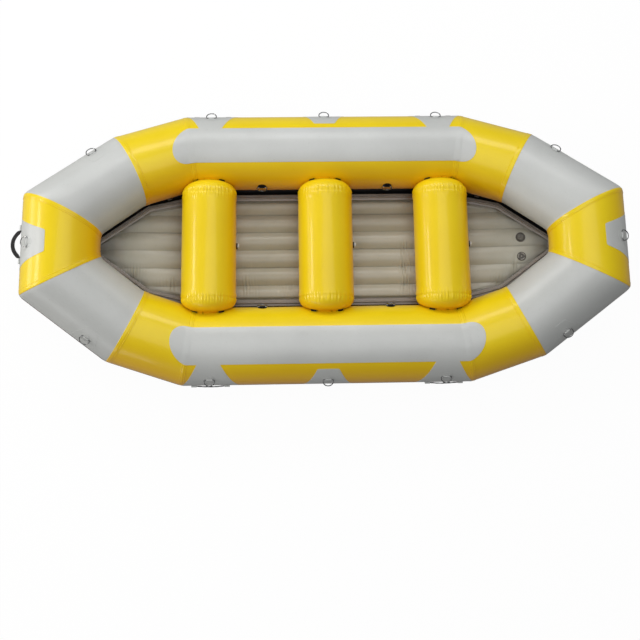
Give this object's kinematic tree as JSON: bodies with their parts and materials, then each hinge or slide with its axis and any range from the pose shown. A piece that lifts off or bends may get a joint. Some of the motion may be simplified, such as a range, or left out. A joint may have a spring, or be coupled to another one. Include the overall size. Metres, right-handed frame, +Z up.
{
  "type": "whitewater raft",
  "caption": "Inflatable self-bailing paddle raft: a kicked-up ring of tubes with domed cross tubes, a channelled floor, rub strake, tie rings and hinged handles.",
  "frame": {"origin": "on the ground under the middle of the raft's overall length and width", "axes": "+X to the bow, the end where the floor valves are; +Y to port; +Z up"},
  "size_m": [4.0216, 1.8362, 0.7129],
  "materials": {
    "yellow_pvc": "glossy coated fabric",
    "grey_pvc": "satin coated fabric",
    "black_pvc": "satin coated fabric",
    "red_rubber": "satin",
    "floor_pvc": "satin coated fabric",
    "flange_pvc": "satin coated fabric",
    "stainless_steel": "polished",
    "black_webbing": "woven",
    "valve_plastic": "moulded"
  },
  "bodies": {
    "hull": {"chafe_pad_port": "grey_pvc", "chafe_pad_star": "grey_pvc", "end_patch_bow": "grey_pvc", "end_patch_stern": "grey_pvc", "floor": "floor_pvc", "floor_apron": "black_pvc", "floor_flange": "flange_pvc", "floor_valve": "valve_plastic", "relief_valve": "valve_plastic", "rub_strake": "black_pvc", "side_patch_port": "grey_pvc", "side_patch_star": "grey_pvc", "thwart_bow": "yellow_pvc", "thwart_mid": "yellow_pvc", "thwart_stern": "yellow_pvc", "tube_bow_end": "yellow_pvc", "tube_port_bow_quarter": "grey_pvc", "tube_port_bow_shoulder": "yellow_pvc", "tube_port_mid": "yellow_pvc", "tube_port_stern_quarter": "grey_pvc", "tube_port_stern_shoulder": "yellow_pvc", "tube_star_bow_quarter": "grey_pvc", "tube_star_bow_shoulder": "yellow_pvc", "tube_star_mid": "yellow_pvc", "tube_star_stern_quarter": "grey_pvc", "tube_star_stern_shoulder": "yellow_pvc", "tube_stern_end": "yellow_pvc", "wear_layer_bow": "black_pvc", "wear_layer_port": "black_pvc", "wear_layer_star": "black_pvc", "wear_layer_stern": "black_pvc"},
    "floor_valve_cap_body": {"floor_valve_cap": "valve_plastic"},
    "handle_port_a_body": {"handle_port_a": "black_webbing"},
    "handle_port_b_body": {"handle_port_b": "black_webbing"},
    "handle_star_a_body": {"handle_star_a": "black_webbing"},
    "handle_star_b_body": {"handle_star_b": "black_webbing"},
    "handle_stern_body": {"handle_stern": "black_webbing"},
    "ring_bow_body": {"ring_bow": "stainless_steel"},
    "ring_port_bow_quarter_body": {"ring_port_bow_quarter": "stainless_steel"},
    "ring_port_inner_a_body": {"ring_port_inner_a": "stainless_steel"},
    "ring_port_inner_b_body": {"ring_port_inner_b": "stainless_steel"},
    "ring_port_mid_body": {"ring_port_mid": "stainless_steel"},
    "ring_port_side_a_body": {"ring_port_side_a": "stainless_steel"},
    "ring_port_side_b_body": {"ring_port_side_b": "stainless_steel"},
    "ring_port_stern_quarter_body": {"ring_port_stern_quarter": "stainless_steel"},
    "ring_star_bow_quarter_body": {"ring_star_bow_quarter": "stainless_steel"},
    "ring_star_inner_a_body": {"ring_star_inner_a": "stainless_steel"},
    "ring_star_inner_b_body": {"ring_star_inner_b": "stainless_steel"},
    "ring_star_mid_body": {"ring_star_mid": "stainless_steel"},
    "ring_star_side_a_body": {"ring_star_side_a": "stainless_steel"},
    "ring_star_side_b_body": {"ring_star_side_b": "stainless_steel"},
    "ring_star_stern_quarter_body": {"ring_star_stern_quarter": "stainless_steel"},
    "ring_stern_body": {"ring_stern": "stainless_steel"},
    "thwart_cap_bow_body": {"thwart_cap_bow": "valve_plastic"},
    "thwart_cap_mid_body": {"thwart_cap_mid": "valve_plastic"},
    "thwart_cap_stern_body": {"thwart_cap_stern": "valve_plastic"},
    "valve_cap_port_bow_body": {"valve_cap_port_bow": "valve_plastic"},
    "valve_cap_port_stern_body": {"valve_cap_port_stern": "valve_plastic"},
    "valve_cap_star_bow_body": {"valve_cap_star_bow": "valve_plastic"},
    "valve_cap_star_stern_body": {"valve_cap_star_stern": "valve_plastic"}
  },
  "joints": [
    {"name": "floor_valve_cap_turn", "type": "hinge", "parent": "hull", "child": "floor_valve_cap_body", "pos_m": [1.37047, 0.058, 0.20515], "axis": [-0.2397, 0, 0.9708], "range_deg": [0, 270]},
    {"name": "handle_port_a_hinge", "type": "hinge", "parent": "hull", "child": "handle_port_a_body", "pos_m": [-0.7335, 0.90485, 0.25094], "axis": [1, 0, 0], "range_deg": [-5, 155]},
    {"name": "handle_port_b_hinge", "type": "hinge", "parent": "hull", "child": "handle_port_b_body", "pos_m": [0.7945, 0.90485, 0.25094], "axis": [1, 0, 0], "range_deg": [-5, 155]},
    {"name": "handle_star_a_hinge", "type": "hinge", "parent": "hull", "child": "handle_star_a_body", "pos_m": [0.7945, -0.90485, 0.25094], "axis": [-1, 0, 0], "range_deg": [-5, 155]},
    {"name": "handle_star_b_hinge", "type": "hinge", "parent": "hull", "child": "handle_star_b_body", "pos_m": [-0.7335, -0.90485, 0.25094], "axis": [-1, 0, 0], "range_deg": [-5, 155]},
    {"name": "handle_stern_hinge", "type": "hinge", "parent": "hull", "child": "handle_stern_body", "pos_m": [-1.94028, 0, 0.52267], "axis": [0, 1, 0], "range_deg": [-70, 85]},
    {"name": "ring_bow_hinge", "type": "hinge", "parent": "hull", "child": "ring_bow_body", "pos_m": [1.92587, 0, 0.65149], "axis": [0, -1, 0], "range_deg": [-15, 150]},
    {"name": "ring_port_bow_quarter_hinge", "type": "hinge", "parent": "hull", "child": "ring_port_bow_quarter_body", "pos_m": [1.56199, 0.60007, 0.51991], "axis": [0.7581, -0.5917, 0.2741], "range_deg": [-15, 150]},
    {"name": "ring_port_inner_a_hinge", "type": "hinge", "parent": "hull", "child": "ring_port_inner_a_body", "pos_m": [-0.3935, 0.40036, 0.31248], "axis": [1, 0, 0], "range_deg": [-165, 5]},
    {"name": "ring_port_inner_b_hinge", "type": "hinge", "parent": "hull", "child": "ring_port_inner_b_body", "pos_m": [0.4545, 0.40036, 0.31248], "axis": [1, 0, 0], "range_deg": [-165, 5]},
    {"name": "ring_port_mid_hinge", "type": "hinge", "parent": "hull", "child": "ring_port_mid_body", "pos_m": [0.0305, 0.87685, 0.36739], "axis": [1, 0, 0], "range_deg": [-15, 150]},
    {"name": "ring_port_side_a_hinge", "type": "hinge", "parent": "hull", "child": "ring_port_side_a_body", "pos_m": [-0.7335, 0.86813, 0.38249], "axis": [1, 0, 0], "range_deg": [-15, 150]},
    {"name": "ring_port_side_b_hinge", "type": "hinge", "parent": "hull", "child": "ring_port_side_b_body", "pos_m": [0.7945, 0.86813, 0.38249], "axis": [1, 0, 0], "range_deg": [-15, 150]},
    {"name": "ring_port_stern_quarter_hinge", "type": "hinge", "parent": "hull", "child": "ring_port_stern_quarter_body", "pos_m": [-1.50098, 0.60007, 0.51991], "axis": [0.7581, 0.5917, -0.2741], "range_deg": [-15, 150]},
    {"name": "ring_star_bow_quarter_hinge", "type": "hinge", "parent": "hull", "child": "ring_star_bow_quarter_body", "pos_m": [1.56199, -0.60007, 0.51991], "axis": [-0.7581, -0.5917, -0.2741], "range_deg": [-15, 150]},
    {"name": "ring_star_inner_a_hinge", "type": "hinge", "parent": "hull", "child": "ring_star_inner_a_body", "pos_m": [0.4545, -0.40036, 0.31248], "axis": [-1, 0, 0], "range_deg": [-165, 5]},
    {"name": "ring_star_inner_b_hinge", "type": "hinge", "parent": "hull", "child": "ring_star_inner_b_body", "pos_m": [-0.3935, -0.40036, 0.31248], "axis": [-1, 0, 0], "range_deg": [-165, 5]},
    {"name": "ring_star_mid_hinge", "type": "hinge", "parent": "hull", "child": "ring_star_mid_body", "pos_m": [0.0305, -0.87685, 0.36739], "axis": [-1, 0, 0], "range_deg": [-15, 150]},
    {"name": "ring_star_side_a_hinge", "type": "hinge", "parent": "hull", "child": "ring_star_side_a_body", "pos_m": [0.7945, -0.86813, 0.38249], "axis": [-1, 0, 0], "range_deg": [-15, 150]},
    {"name": "ring_star_side_b_hinge", "type": "hinge", "parent": "hull", "child": "ring_star_side_b_body", "pos_m": [-0.7335, -0.86813, 0.38249], "axis": [-1, 0, 0], "range_deg": [-15, 150]},
    {"name": "ring_star_stern_quarter_hinge", "type": "hinge", "parent": "hull", "child": "ring_star_stern_quarter_body", "pos_m": [-1.50098, -0.60007, 0.51991], "axis": [-0.7581, 0.5917, 0.2741], "range_deg": [-15, 150]},
    {"name": "ring_stern_hinge", "type": "hinge", "parent": "hull", "child": "ring_stern_body", "pos_m": [-1.86487, 0, 0.65149], "axis": [0, 1, 0], "range_deg": [-15, 150]},
    {"name": "thwart_cap_bow_turn", "type": "hinge", "parent": "hull", "child": "thwart_cap_bow_body", "pos_m": [0.9978, 0, 0.32404], "axis": [1, 0, 0], "range_deg": [0, 270]},
    {"name": "thwart_cap_mid_turn", "type": "hinge", "parent": "hull", "child": "thwart_cap_mid_body", "pos_m": [0.2208, 0, 0.32404], "axis": [1, 0, 0], "range_deg": [0, 270]},
    {"name": "thwart_cap_stern_turn", "type": "hinge", "parent": "hull", "child": "thwart_cap_stern_body", "pos_m": [-0.5562, 0, 0.32404], "axis": [1, 0, 0], "range_deg": [0, 270]},
    {"name": "valve_cap_port_bow_turn", "type": "hinge", "parent": "hull", "child": "valve_cap_port_bow_body", "pos_m": [1.08766, 0.35302, 0.19063], "axis": [-0.2395, -0.9012, -0.3611], "range_deg": [0, 270]},
    {"name": "valve_cap_port_stern_turn", "type": "hinge", "parent": "hull", "child": "valve_cap_port_stern_body", "pos_m": [-1.02666, 0.35302, 0.19063], "axis": [0.2395, -0.9012, -0.3611], "range_deg": [0, 270]},
    {"name": "valve_cap_star_bow_turn", "type": "hinge", "parent": "hull", "child": "valve_cap_star_bow_body", "pos_m": [1.08766, -0.35302, 0.19063], "axis": [-0.2395, 0.9012, -0.3611], "range_deg": [0, 270]},
    {"name": "valve_cap_star_stern_turn", "type": "hinge", "parent": "hull", "child": "valve_cap_star_stern_body", "pos_m": [-1.02666, -0.35302, 0.19063], "axis": [0.2395, 0.9012, -0.3611], "range_deg": [0, 270]}
  ]
}
